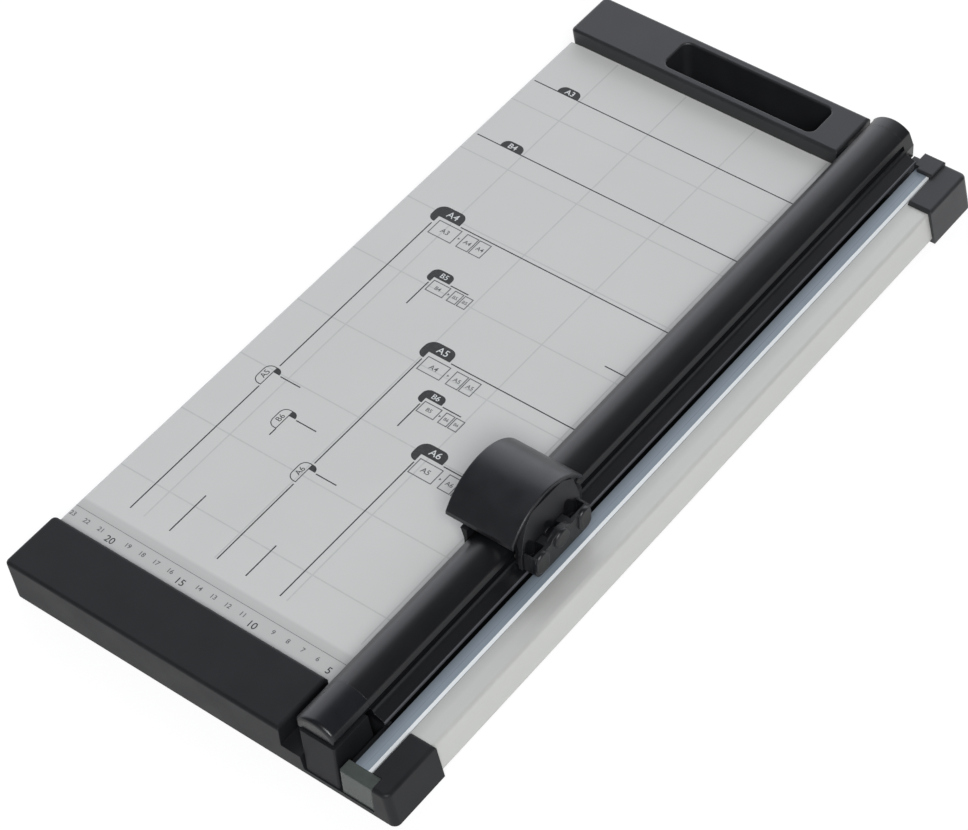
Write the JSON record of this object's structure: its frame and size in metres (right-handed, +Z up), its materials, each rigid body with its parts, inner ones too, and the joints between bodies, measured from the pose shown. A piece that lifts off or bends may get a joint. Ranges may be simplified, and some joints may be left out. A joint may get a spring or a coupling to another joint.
{
  "type": "rotary paper trimmer",
  "caption": "Flat desk trimmer: printed table between end bars, and a hinged rail on which a domed head slides a round blade along a cutting mat.",
  "frame": {"origin": "under the middle of the base, on the surface that its feet stand on", "axes": "+Z up; +Y along the rail, from the near end bar, where the paper is stopped, to the far end bar; +X across the table, towards the cutting side"},
  "size_m": [0.2637, 0.535, 0.0623],
  "materials": {
    "table_grey": "matt grey paint",
    "steel_sheet": "zinc plated",
    "bar_black": "fine grain",
    "side_aluminium": "satin anodised",
    "mat_blue": "smooth",
    "smoky_block": "smoky, translucent",
    "rubber_black": "matt",
    "fastener_steel": "zinc plated",
    "pin_steel": "ground",
    "rail_black": "black anodised, satin",
    "cap_black": "satin",
    "bush_plastic": "moulded",
    "carriage_black": "fine grain",
    "pad_plastic": "moulded",
    "spring_steel": "drawn wire",
    "dome_black": "fine grain, satin",
    "holder_black": "satin",
    "cartridge_black": "satin",
    "blade_steel": "ground edge"
  },
  "bodies": {
    "base": {"table_plate": "table_grey", "table_ribs": "steel_sheet", "near_end_bar": "bar_black", "far_end_bar": "bar_black", "side_extrusion": "side_aluminium", "cutting_mat": "mat_blue", "mat_stop": "smoky_block", "rail_post": "bar_black", "rest_pad": "rubber_black", "post_screws": "fastener_steel", "hinge_bracket": "steel_sheet", "hinge_pin": "pin_steel", "bracket_screws": "fastener_steel", "rubber_feet": "rubber_black"},
    "rail": {"rail_beam": "rail_black", "near_rail_cap": "cap_black", "far_rail_cap": "cap_black", "hinge_bush": "bush_plastic", "rail_cap_screws": "fastener_steel", "grip_strip": "rubber_black"},
    "carriage": {"carriage_saddle": "carriage_black", "glide_pads": "pad_plastic", "guide_pins": "pin_steel", "press_springs": "spring_steel"},
    "head": {"head_cover": "dome_black", "cartridge_holder": "holder_black", "head_screws": "fastener_steel"},
    "cartridge": {"cartridge_case": "cartridge_black", "cartridge_cover": "cartridge_black", "blade_axle": "pin_steel", "cover_screws": "fastener_steel"},
    "blade": {"blade": "blade_steel", "blade_hub": "bush_plastic"}
  },
  "joints": [
    {"name": "rail_lift", "type": "hinge", "parent": "base", "child": "rail", "pos_m": [0.07745, 0.248, 0.03], "axis": [-1, 0, 0], "range_deg": [0, 18]},
    {"name": "carriage_slide", "type": "slide", "parent": "rail", "child": "carriage", "axis": [0, 1, 0], "range_m": [-0.1412, 0.3098]},
    {"name": "head_press", "type": "slide", "parent": "carriage", "child": "head", "axis": [0, 0, -1], "range_m": [0, 0.002], "stiffness_N_per_m": 400, "springref_m": -0.004, "deforming": ["press_springs"]},
    {"name": "cartridge_pull", "type": "slide", "parent": "head", "child": "cartridge", "axis": [1, 0, 0], "range_m": [0, 0.006]},
    {"name": "blade_spin", "type": "hinge", "parent": "cartridge", "child": "blade", "pos_m": [0.106, -0.0945, 0.035], "axis": [1, 0, 0], "continuous": true}
  ],
  "couplings": [
    {"joint": "blade_spin", "follows": "carriage_slide", "rad_per_m": -100}
  ]
}
